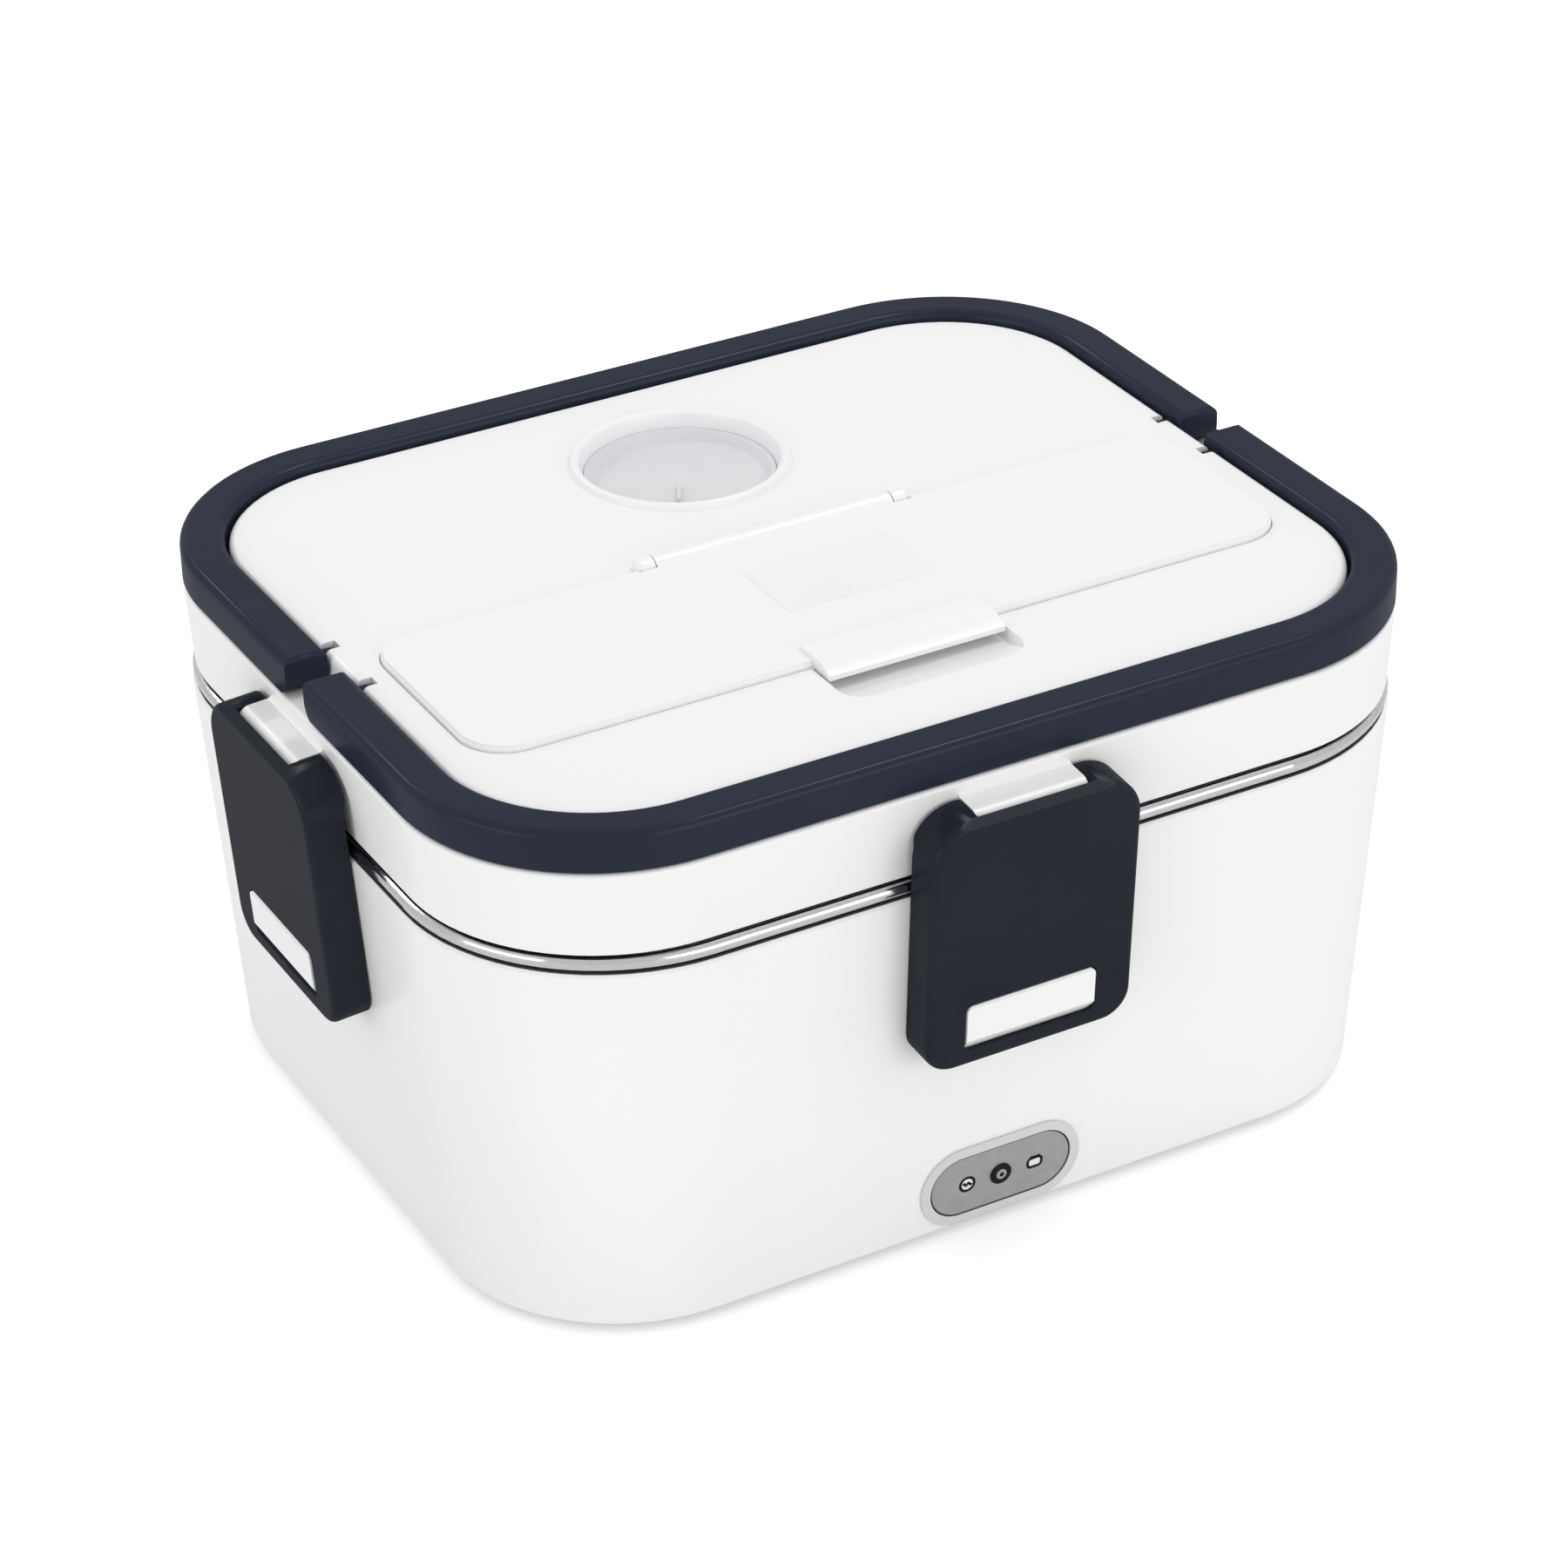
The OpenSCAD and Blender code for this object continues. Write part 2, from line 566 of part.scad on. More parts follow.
module lid_shell() color(white) {
    step_r = lid_r - lid_wall - 1.5;
    slab_r = panel_r - 2.9;
    under_panel_z = panel_z - lid_wall;
    difference() {
        union() {
            difference() {
                union() {
                    rim_sweep(lid_x, lid_y) polygon(concat(
                        [[lid_r - skirt_draft - lid_wall, skirt_z], [lid_r - skirt_draft, skirt_z]],
                        arc([lid_r - 1, ledge_z - 1], 1, 0, 90, 4), [[panel_r, ledge_z]],
                        arc([panel_r - 1.6, panel_z - 1.6], 1.6, 0, 90, 5),
                        [[slab_r - 0.1, panel_z], [slab_r - 0.1, under_panel_z]],
                        [[panel_r - lid_wall, under_panel_z], [panel_r - lid_wall, ledge_z - lid_wall]],
                        [[step_r, ledge_z - lid_wall], [step_r - 0.5, shoulder_z]],
                        [[lid_r - skirt_draft - lid_wall, shoulder_z]]));
                    slab(lid_x, lid_y, slab_r, under_panel_z, lid_wall);
                    bay_box(bay_wall, panel_z - bay_depth - bay_wall, bay_depth + bay_wall - 0.5);
                    translate([-knuckle_len / 2 - cheek_w - 2, hinge_y - 5, panel_z - 5])
                        cube([knuckle_len + 2 * cheek_w + 4, 10, 4]);
                    translate([-tab_w / 2 - 3, scoop_front - 2, panel_z - scoop_depth - 2.2])
                        cube([tab_w + 6, scoop_len + 2, scoop_depth + 1.2]);
                    for (s = SIDES) on_side(s) latch_lug();
                }
                bay_box(0, panel_z - bay_depth, bay_depth + 5);
                translate([0, cover_mid, 0])
                    plate(cover_len + 2 * fit, cover_dep + 2 * fit, cover_r + fit, cover_z, 5);
                translate([0, hinge_y, hinge_z]) rod(knuckle_r + fit, -knuckle_len / 2, knuckle_len / 2);
                finger_scoop();
            }
            hinge_cheeks();
            vent_ring();
        }
        vent_bore();
        translate([0, hinge_y, hinge_z]) rod(pin_r + 0.01, -pin_half, pin_half);
        // Peg bores, each with a snap-in slot down from the panel
        for (sx = [-1, 1], sy = [-1, 1])
            translate([sx * (lid_x + panel_r - lid_wall / 2), sy * pivot_y, pivot_z]) {
                rod(peg_r + run, -lid_wall, lid_wall);
                translate([-lid_wall, 0.4 - peg_r, 0]) cube([2 * lid_wall, 2 * peg_r - 0.8, 2 * bail_t]);
            }
        for (s = SIDES, m = [0, 1]) on_side(s) mirror([m, 0, 0])
            rod(stub_r + run, lug_w / 2 - 5, lug_w / 2 + 1);
    }
}

// Shallow dish under the cover's tab, which slopes up to its rounded front
module finger_scoop() intersection() {
    across(tab_w + 8) polygon([[-scoop_front, panel_z], [-scoop_front - scoop_len / 2, panel_z - scoop_depth],
        [-scoop_front - scoop_len, panel_z - scoop_depth], [-scoop_front - scoop_len, panel_z + scoop_depth],
        [-scoop_front, panel_z + scoop_depth]]);
    translate([0, scoop_front + scoop_len, 0])
        plate(tab_w + 1.4, 2 * scoop_len, 6, panel_z - 2 * scoop_depth, 4 * scoop_depth);
}

// Outside (grow > 0) or inside of the cutlery bay
module bay_box(grow, z, h) {
    len = cover_len - 2 * bay_rim + 2 * grow;
    dep = cover_dep - 2 * bay_rim + 2 * grow;
    translate([0, cover_mid, 0]) plate(len, dep, bay_r + grow, z, h);
}

// Ends of the hinge line, which stand on the panel and hold the pin
module hinge_cheeks() for (m = [0, 1]) mirror([m, 0, 0]) translate([0, hinge_y, 0]) {
    translate([0, 0, hinge_z]) rod(knuckle_r, knuckle_len / 2, knuckle_len / 2 + cheek_w - 0.9);
    translate([knuckle_len / 2 + cheek_w - 0.9, 0, hinge_z])
        rotate([0, 90, 0]) cylinder(r1 = knuckle_r, r2 = knuckle_r - 0.9, h = 0.9);
    translate([knuckle_len / 2, -knuckle_r, panel_z - 4])
        cube([cheek_w, 2 * knuckle_r, hinge_z - panel_z + 4]);
}

// Raised ring, the well below it and the duct down to the liner
module vent_ring() {
    wall_r = plug_r + 0.3 + vent_wall;
    duct_r = plug_r - 4;
    duct_z = liner_z + liner_t + 0.1;
    translate([0, vent_y, 0]) rotate_extrude() polygon(concat(
        [[0, well_z - 2], [duct_r - 1.6, well_z - 2], [duct_r - 1.6, duct_z], [duct_r, duct_z]],
        [[duct_r, well_z - 2], [wall_r, well_z - 2], [wall_r, panel_z - 1], [vent_r, panel_z - 1]],
        [[vent_r, panel_z + 0.1]], arc([vent_r - 1.3, ring_z - 1.1], 1.1, 0, 90, 5), [[0, ring_z]]));
}

module vent_bore() translate([0, vent_y, 0]) {
    bore_r = plug_r + 0.15;
    rotate_extrude() polygon([[0, well_z], [bore_r, well_z], [bore_r, well_z + plug_t + 0.5],
        [vent_r - 2.4, ring_z - 0.8], [vent_r - 1.5, ring_z + eps], [0, ring_z + eps]]);
    for (a = [0:60:300]) rotate(a) translate([9, 0, well_z - 5]) cylinder(r = 2.2, h = 10);
}

// Lug between a latch's ears: a barrel round the hinge line and a block that blends into the skirt
module latch_lug() {
    blend_r = 1.6;
    skirt = -axis_out - 0.7;
    rod(barrel_r, -lug_w / 2, lug_w / 2);
    across(lug_w) polygon(concat(
        [[0, barrel_r], [0, -barrel_r], [skirt - 1, -barrel_r], [skirt - 1, barrel_r + blend_r]],
        arc([skirt + blend_r, barrel_r + blend_r], blend_r, 180, 270)));
}

module lid_liner() color(white) difference() {
    plug_out = pot_in - 1;
    union() {
        slab(lid_x, lid_y, liner_r - 1.9, liner_z, liner_t);
        rim_sweep(lid_x, lid_y) polygon([
            [liner_r - 2, liner_z], [liner_r - 0.5, liner_z], [liner_r, liner_z + 1],
            [liner_r, shoulder_z], [liner_r - 2, shoulder_z]]);
        rim_sweep(base_x, base_y) polygon([[plug_out - 2, rim_z - 7], [plug_out - 1, rim_z - 7],
            [plug_out, rim_z - 6], [plug_out, liner_z + 0.5], [plug_out - 2, liner_z + 0.5]]);
        rim_sweep(base_x, base_y) polygon([[gasket_out + 0.2, rim_z + 3.4], [gasket_out + 1.4, rim_z + 3.4],
            [gasket_out + 1.4, liner_z + 0.5], [gasket_out + 0.2, liner_z + 0.5]]);
    }
    translate([0, vent_y, liner_z - 1]) {
        cylinder(r = 2.2, h = 5);
        for (a = [0:60:300]) rotate(a) translate([9, 0, 0]) cylinder(r = 2.2, h = 5);
    }
}

module lid_gasket() color([0.9, 0.9, 0.88]) rim_sweep(base_x, base_y) polygon([
    [pot_in - 0.6, liner_z], [pot_in - 0.6, liner_z - 2], [pot_in + 1.3, rim_z + pot_t + 0.2],
    [pot_in + 3, rim_z + pot_t + 0.2], [gasket_out, liner_z - 2], [gasket_out, liner_z]]);

module cover_hinge_pin() color(steel)
    translate([0, hinge_y, hinge_z]) rod(pin_r, -pin_half + 0.1, pin_half - 0.1);

module cutlery_cover() color(white) {
    z0 = cover_z + 0.1;
    front = hinge_y - cover_dep;
    difference() {
        union() {
            translate([0, cover_mid, 0]) {
                plate(cover_len, cover_dep, cover_r, z0, cover_t - 0.6);
                plate(cover_len - 1, cover_dep - 1, cover_r - 0.5, z0, cover_t);
            }
            difference() {
                bay_box(-0.5, z0 - 3, 3.1);
                bay_box(-1.9, z0 - 4, 4);
            }
            translate([0, hinge_y, hinge_z]) rod(knuckle_r, -knuckle_len / 2 + fit, knuckle_len / 2 - fit);
            translate([0, front, z0]) across(tab_w) polygon([
                [tab_out, fit], [tab_out, fit + 1.2], [tab_out - 3.5, cover_t + tab_up],
                [0.6 - tab_in, cover_t + tab_up], [-tab_in, cover_t - 0.2], [-tab_in, fit]]);
        }
        for (m = [0, 1]) mirror([m, 0, 0])
            translate([0, hinge_y, z0]) across_from(knuckle_len / 2 + cheek_w, cover_len) polygon([
                [-eps, 0.9], [2.2, cover_t + eps], [-2, cover_t + eps], [-2, 0.9]]);
        translate([0, hinge_y, hinge_z]) rod(pin_r + run, -knuckle_len, knuckle_len);
        for (m = [0, 1]) mirror([m, 0, 0])
            translate([knuckle_len / 2 - fit, hinge_y - knuckle_r - fit, z0 - 1])
                cube([cheek_w + 2 * fit, 10, 6]);
    }
}

module blank_label() color([0.82, 0.82, 0.82])
    translate([2.5, hinge_y - 25.4, 0]) plate(36, 20.5, 1, cover_z + 0.1 + cover_t, 0.2);

module vent_plug() color([0.82, 0.82, 0.82]) {
    z0 = well_z + 0.2;
    translate([0, vent_y, 0]) difference() {
        rotate_extrude() polygon([[0, z0], [plug_r, z0], [plug_r, z0 + plug_t], [plug_r - 1.2, z0 + plug_t],
            [plug_r - 2.6, z0 + 1.6], [0, z0 + 1.6]]);
        for (a = plug_slots) rotate(a) translate([0, 0, z0 + 0.6]) linear_extrude(plug_t)
            polygon([[plug_r - 6.6, 0], [plug_r - 3, -1.7], [plug_r - 3, 1.7]]);
    }
    // Finger rib
    translate([0, vent_y, z0 + 1.5]) rotate(plug_slots[1]) translate([4.5, -0.45, 0]) cube([8, 0.9, 1.3]);
}

// ---------------------------------------------------------------- handles

module handle() {
    top = bail_z + bail_t;
    inner = lid_r - bail_w;
    module section() polygon(concat(
        [[inner, bail_z + 0.6], [inner + 0.6, bail_z], [lid_r - 0.6, bail_z], [lid_r, bail_z + 0.6]],
        arc([lid_r - 2, top - 2], 2, 0, 90, 5), arc([inner + 2, top - 2], 2, 90, 180, 5)));
    module arm(y0, y1) translate([lid_x, y1, 0]) rotate([90, 0, 0]) linear_extrude(y1 - y0) section();
    rotate(270) straight_run(lid_y, 2 * lid_x) section();
    for (m = [0, 1]) mirror([m, 0, 0]) {
        translate([lid_x, -lid_y, 0]) rotate(270) rotate_extrude(angle = 90) section();
        arm(-lid_y, -pivot_y);
        intersection() {
            arm(-pivot_y - eps, -bail_gap / 2);
            translate([lid_x, 0, 0]) rotate([90, 0, 90]) linear_extrude(lid_r + 1) polygon(concat(
                [[-pivot_y - 1, bail_z - 1], [-pivot_y, bail_z]],
                arc([-pivot_y, pivot_z], bail_t / 2, -85, 0, 8),
                [[-bail_gap / 2, top - 1], [-bail_gap / 2 - 1, top], [-pivot_y - 1, top + 1]]));
        }
        translate([lid_x + inner, -pivot_y, pivot_z]) rod(peg_r, -peg_len, 1);
    }
}

module front_handle() color(navy) handle();
module rear_handle() color(navy) rotate(180) handle();

// ---------------------------------------------------------------- latches

// Outline of a latch, its front edge rounded
module latch_outline(foot_r2 = 7, head_r = 10, edge_r = 1.6) {
    module layer(inset, y) for (s = [-1, 1]) {
        translate([s * (latch_w / 2 - foot_r2), y, foot_r2 - latch_drop])
            rotate([-90, 0, 0]) cylinder(r = foot_r2 - inset, h = eps, $fn = 48);
        translate([s * (latch_w / 2 - head_r), y, latch_up - head_r])
            rotate([-90, 0, 0]) cylinder(r = head_r - inset, h = eps, $fn = 48);
    }
    hull() {
        for (a = [0:22.5:90]) layer(edge_r * (1 - sin(a)), edge_r * (1 - cos(a)) - plate_front);
        layer(0, plate_front);
    }
}

module latch() {
    edge_drop = 1.2;
    half = latch_w / 2;
    window_w = catch_w + 2 * catch_clear;
    lip = plate_front - lip_t;
    difference() {
        intersection() {
            latch_outline();
            union() {
                across(latch_w) polygon([[plate_front, -latch_drop], [plate_front, latch_up - edge_drop],
                    [plate_back, latch_up], [plate_back, -latch_drop]]);
                for (m = [0, 1]) mirror([m, 0, 0]) {
                    translate([half - latch_plate_t, -plate_front, -latch_drop])
                        cube([latch_plate_t, plate_front + latch_back, latch_drop]);
                    across_from(ear_in, half) polygon([
                        [plate_back + eps, latch_up], [plate_back + eps, -ear_low],
                        [-latch_back, -ear_low - 1.5], [-ear_back, -ear_low + 0.5], [-ear_back, latch_up]]);
                }
            }
        }
        rotate([90, 0, 0]) translate([0, (window_low + window_high) / 2, 0])
            plate(window_w, window_high - window_low, window_r, 0, 2 * plate_front);
        across(window_w) polygon([[lip, window_low + window_r], [lip, window_low],
            [plate_back - 1, window_low - catch_slope * (lip - plate_back + 1)],
            [plate_back - 1, window_low + window_r]]);
    }
    for (m = [0, 1]) mirror([m, 0, 0]) rod(stub_r, lug_w / 2 - 4.6, ear_in + 1);
}

module front_latch() color(navy) on_side("front") latch();
module rear_latch() color(navy) on_side("rear") latch();
module left_latch() color(navy) on_side("left") latch();
module right_latch() color(navy) on_side("right") latch();

outer_shell();
base_cover();
rubber_feet();
base_screws();
inner_tub();
heating_plate();
ptc_heater();
heater_clamp();
heater_screws();
thermostat();
thermal_fuse();
inlet_housing();
inlet_pins();
live_lead();
neutral_lead();
heater_leads();
lamp_lead();
panel_bezel();
panel_plate();
lamp_lens();
lamp_board();
inner_pot();
lid_shell();
lid_liner();
lid_gasket();
cover_hinge_pin();
cutlery_cover();
blank_label();
vent_plug();
front_handle();
rear_handle();
front_latch();
rear_latch();
left_latch();
right_latch();
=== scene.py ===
"""Dresses the electric lunch box: finishes, black strips of painted seam shade, icons and lamp,
with floor, light and camera.
"""
import math

import bmesh
import bpy
from mathutils import Matrix, Vector


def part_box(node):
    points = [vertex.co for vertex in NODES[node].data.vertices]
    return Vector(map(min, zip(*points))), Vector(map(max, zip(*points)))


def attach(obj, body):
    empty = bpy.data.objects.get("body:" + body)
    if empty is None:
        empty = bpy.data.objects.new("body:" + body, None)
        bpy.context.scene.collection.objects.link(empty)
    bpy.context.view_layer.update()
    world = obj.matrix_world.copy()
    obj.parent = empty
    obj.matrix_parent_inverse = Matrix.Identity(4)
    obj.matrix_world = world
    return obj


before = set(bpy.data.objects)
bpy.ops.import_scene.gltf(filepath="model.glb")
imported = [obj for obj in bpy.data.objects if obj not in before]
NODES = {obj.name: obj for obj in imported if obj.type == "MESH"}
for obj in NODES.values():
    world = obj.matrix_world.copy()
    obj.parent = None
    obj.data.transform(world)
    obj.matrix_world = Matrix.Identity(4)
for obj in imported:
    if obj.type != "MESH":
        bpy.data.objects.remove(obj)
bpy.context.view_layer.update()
MM = 0.001

# ---------------------------------------- sizes that the frame's boxes don't give, in mm
LEAN = math.atan2(6.1, 91.8)          # lean of the base's walls
BASE_CENTRES = Vector((70.0, 49.8))   # corner centres of the base
LID_CENTRES = Vector((72.0, 51.7))    # corner centres of the lid
RIM_Z = 93.8                          # top of the base shell
SKIRT_Z = 98.4                        # lower edge of the lid skirt

# ---------------------------------------- camera
# Fitted to the photograph's outlines: where the camera stands and its axes, in the shared frame
IMAGE = 1800                          # pixels across
FOCAL_PX = 5462.6
SENSOR = 36.0                         # millimetres
CAMERA_AT = Vector((-0.44364, -0.81493, 0.61032))
CAMERA_RIGHT = Vector((0.87283, -0.48768, -0.01820))
CAMERA_UP = Vector((0.26114, 0.43523, 0.86161))
CAMERA_SLIDE = -0.00110               # metres along its right axis


def make_camera():
    data = bpy.data.cameras.new("camera")
    data.sensor_width = SENSOR
    data.lens = FOCAL_PX / IMAGE * SENSOR
    data.clip_start = 0.01
    data.clip_end = 30
    cam = bpy.data.objects.new("camera", data)
    right = CAMERA_RIGHT.normalized()
    back = right.cross(CAMERA_UP).normalized()
    up = back.cross(right)
    turn = Matrix((right, up, back)).transposed().to_4x4()
    cam.matrix_world = Matrix.Translation(CAMERA_AT + CAMERA_SLIDE * right) @ turn
    bpy.context.scene.collection.objects.link(cam)
    bpy.context.scene.camera = cam


# ---------------------------------------- materials
def srgb(*rgb):
    """A colour given as 0 to 255, as the shader's linear colour."""
    if len(rgb) == 1:
        rgb = rgb * 3

    def lin(v):
        v /= 255
        return v / 12.92 if v <= 0.04045 else ((v + 0.055) / 1.055) ** 2.4
    return tuple(lin(v) for v in rgb) + (1.0,)


NOISE_LOW, NOISE_HIGH = 0.3, 0.7      # most of a noise texture lies between these


class Finish:
    """A Principled material whose colour, roughness and bump come from textures."""

    def __init__(self, name):
        self.mat = bpy.data.materials.new(name)
        self.mat.use_nodes = True
        self.tree = self.mat.node_tree
        self.shader = self.tree.nodes["Principled BSDF"]
        self.coords = self.tree.nodes.new("ShaderNodeTexCoord")

    def node(self, kind, **settings):
        made = self.tree.nodes.new("ShaderNode" + kind)
        for key, value in settings.items():
            setattr(made, key, value)
        return made

    def join(self, source, target, socket, output=0):
        self.tree.links.new(source.outputs[output], target.inputs[socket])

    def noise(self, scale, detail=3.0, stretch=(1, 1, 1)):
        """Noise in the object's metres: a scale of 100 gives patches about 10 mm wide."""
        place = self.node("Mapping")
        place.inputs["Scale"].default_value = stretch
        self.tree.links.new(self.coords.outputs["Object"], place.inputs["Vector"])
        tex = self.node("TexNoise")
        tex.inputs["Scale"].default_value = scale
        tex.inputs["Detail"].default_value = detail
        self.join(place, tex, "Vector")
        return tex

    def colour(self, source, low, high):
        ramp = self.node("ValToRGB")
        ramp.color_ramp.elements[0].position = NOISE_LOW
        ramp.color_ramp.elements[1].position = NOISE_HIGH
        ramp.color_ramp.elements[0].color = low
        ramp.color_ramp.elements[1].color = high
        self.join(source, ramp, "Fac")
        self.join(ramp, self.shader, "Base Color")

    def spread(self, source, socket, low, high):
        span = self.node("MapRange")
        for key, value in (("From Min", NOISE_LOW), ("From Max", NOISE_HIGH),
                           ("To Min", low), ("To Max", high)):
            span.inputs[key].default_value = value
        self.join(source, span, "Value")
        self.join(span, self.shader, socket)

    def bump(self, source, depth, strength=1.0):
        made = self.node("Bump")
        made.inputs["Strength"].default_value = strength
        made.inputs["Distance"].default_value = depth
        self.join(source, made, "Height")
        self.join(made, self.shader, "Normal")

    def set(self, **values):
        for key, value in values.items():
            self.shader.inputs[key.replace("_", " ")].default_value = value
        return self


# A roughness range that crosses about 0.27 makes flecks on pale plastic, so each stays on one side
POLISHED = (0.1, 0.18)
GLOSSY = (0.3, 0.35)
SATIN = (0.4, 0.5)
FINE_SKIN = 0.0000012                 # metres, like every skin and depth below
GLOSS_SCALE = 90
SKIN_SCALE = 300
SKIN_STRENGTH = 0.6


def plastic(name, low, high, rough=(0.3, 0.36), skin=0.000001, patch=40, **extra):
    """Moulded plastic: faint cloudy colour, slightly uneven gloss, shallow orange-peel skin."""
    made = Finish(name)
    made.colour(made.noise(patch), low, high)
    made.spread(made.noise(GLOSS_SCALE, 2), "Roughness", *rough)
    made.bump(made.noise(SKIN_SCALE, 0), skin, SKIN_STRENGTH)
    made.join(made.tree.nodes["Bump"], made.shader, "Coat Normal")
    made.set(**extra)
    return made.mat


def metal(name, low, high, rough, streak=(1, 1, 1), scale=900, depth=0.000004):
    """Steel or aluminium, with its rolling or turning marks drawn out by streak."""
    made = Finish(name)
    marks = made.noise(scale, 4, streak)
    made.colour(marks, low, high)
    made.spread(marks, "Roughness", *rough)
    made.bump(marks, depth)
    made.set(Metallic=1.0)
    return made.mat


def finish_nodes(mat, *names):
    for name in names:
        node = NODES[name]
        node.data.materials.clear()
        node.data.materials.append(mat)


# Dark plastics: a thin clear coat over a matt body, so that the pale studio doesn't grey them
DARK_GLOSS = {"Specular_IOR_Level": 0.0, "Coat_Weight": 0.17, "Coat_Roughness": 0.24}
NAVY_GLOSS = {**DARK_GLOSS, "Coat_Weight": 0.24}
LATCHES = ("front_latch", "rear_latch", "left_latch", "right_latch")
MATS = {}                             # the finishes that the added pieces share


def make_materials():
    white = plastic("white_abs", srgb(242, 242, 243), srgb(245), GLOSSY, patch=12)
    finish_nodes(white, "outer_shell", "lid_shell", "cutlery_cover")
    inner = plastic("inner_pp", srgb(225, 226, 226), srgb(231), SATIN, 0.000006)
    finish_nodes(inner, "inner_tub", "base_cover", "lid_liner")
    navy = plastic("navy_pp", srgb(36, 41, 56), srgb(40, 45, 60), SATIN, FINE_SKIN, **NAVY_GLOSS)
    finish_nodes(navy, "front_handle", "rear_handle")
    latch = plastic("latch_pp", srgb(32, 36, 43), srgb(36, 40, 47), SATIN, FINE_SKIN, **DARK_GLOSS)
    finish_nodes(latch, *LATCHES)
    MATS["black"] = plastic("black_pp", srgb(24, 25, 27), srgb(30, 31, 33), SATIN, **DARK_GLOSS)
    finish_nodes(MATS["black"], "inlet_housing", "thermostat", "lamp_lens")
    # Real rubber for the feet; the same black finish also colours the strips of painted seam shade
    MATS["rubber"] = plastic("foot_rubber", srgb(30, 30, 31), srgb(38), (0.7, 0.85), 0.00001)
    finish_nodes(MATS["rubber"], "rubber_feet")
    steel = metal("polished_steel", srgb(196, 197, 199), srgb(214, 215, 216), POLISHED, (1, 1, 9))
    finish_nodes(steel, "inner_pot", "base_screws", "heater_clamp", "heater_screws",
                 "thermal_fuse", "inlet_pins", "cover_hinge_pin")
    cast = metal("cast_aluminium", srgb(170, 172, 174), srgb(190, 192, 194), (0.4, 0.55),
                 scale=500, depth=0.00001)
    finish_nodes(cast, "heating_plate")
    ceramic = plastic("heater_insulation", srgb(178, 150, 112), srgb(200, 172, 130), (0.6, 0.7),
                      0.00002)
    finish_nodes(ceramic, "ptc_heater")
    finish_nodes(plastic("red_pvc", srgb(170, 40, 34), srgb(180, 46, 40)), "live_lead")
    finish_nodes(plastic("blue_pvc", srgb(38, 70, 150), srgb(44, 78, 160)), "neutral_lead")
    pale = plastic("white_silicone_lead", srgb(214, 212, 204), srgb(224, 222, 214))
    finish_nodes(pale, "heater_leads", "lamp_lead")
    seal = plastic("seal_silicone", srgb(196, 198, 199), srgb(206, 207, 208), SATIN, 0.000008)
    finish_nodes(seal, "lid_gasket")
    plug = plastic("clear_silicone", srgb(217, 217, 221), srgb(223, 223, 226), GLOSSY, 0.000003)
    finish_nodes(plug, "vent_plug")
    bezel = plastic("bezel_grey", srgb(207, 208, 210), srgb(213, 214, 216))
    finish_nodes(bezel, "panel_bezel")
    MATS["silver"] = plastic("silver_print", srgb(150, 151, 152), srgb(158, 158, 159),
                             (0.38, 0.46), 0.000003, 300)
    finish_nodes(MATS["silver"], "panel_plate")
    finish_nodes(plastic("board_green", srgb(20, 90, 60), srgb(26, 104, 70)), "lamp_board")
    label = plastic("label_film", srgb(237, 238, 239), srgb(241, 241, 242), SATIN)
    finish_nodes(label, "blank_label")
    MATS["pale_ink"] = plastic("pale_ink", srgb(226, 227, 228), srgb(232), (0.45, 0.55), patch=300)
    MATS["ink"] = plastic("black_ink", srgb(12, 13, 14), srgb(18, 19, 20), (0.45, 0.55), patch=300,
                          Specular_IOR_Level=0.1)


WELD = 0.000002                       # metres
FLAT_ANGLE = 0.4                      # degrees: faces flatter than this are one face
FACE_WEIGHT = 80


def soften(name, width, angle=28, segments=2):
    """Rounds a node's sharp edges, so that they catch the light, and keeps its flats flat."""
    node = NODES[name]
    weld = node.modifiers.new("weld", "WELD")
    weld.merge_threshold = WELD
    flat = node.modifiers.new("flat", "DECIMATE")
    flat.decimate_type = "DISSOLVE"
    flat.angle_limit = math.radians(FLAT_ANGLE)
    round_off = node.modifiers.new("round_off", "BEVEL")
    round_off.width = width
    round_off.segments = segments
    round_off.limit_method = "ANGLE"
    round_off.angle_limit = math.radians(angle)
    normals = node.modifiers.new("normals", "WEIGHTED_NORMAL")
    normals.mode = "FACE_AREA_WITH_ANGLE"
    normals.weight = FACE_WEIGHT
    node.data.shade_smooth()


# ---------------------------------------- added pieces
def new_piece(name, bm, mat, body):
    mesh = bpy.data.meshes.new(name)
    bmesh.ops.recalc_face_normals(bm, faces=bm.faces)
    bm.to_mesh(mesh)
    bm.free()
    piece = bpy.data.objects.new(name, mesh)
    bpy.context.scene.collection.objects.link(piece)
    mesh.materials.append(mat)
    mesh.shade_smooth()
    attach(piece, body)
    return piece


def loft(bm, rings, closed_ends=False):
    """Joins closed rings of points into a skin, round to the first ring or capped at both ends."""
    loops = [[bm.verts.new(p) for p in ring] for ring in rings]
    count = len(loops[0])
    last = len(loops) if not closed_ends else len(loops) - 1
    for i in range(last):
        a, b = loops[i], loops[(i + 1) % len(loops)]
        for k in range(count):
            n = (k + 1) % count
            bm.faces.new((a[k], a[n], b[n], b[k]))
    if closed_ends:
        bm.faces.new(loops[0])
        bm.faces.new(reversed(loops[-1]))


def rounded_path(half_x, half_y, radius, steps=16):
    """Points round a rounded rectangle from its corner centres, each with its outward direction."""
    path = []
    for q, (sx, sy) in enumerate(((1, 1), (-1, 1), (-1, -1), (1, -1))):
        for i in range(steps + 1):
            a = math.radians(90 * q + 90 * i / steps)
            out = Vector((math.cos(a), math.sin(a)))
            path.append((Vector((sx * half_x, sy * half_y)) + radius * out, out))
    return path


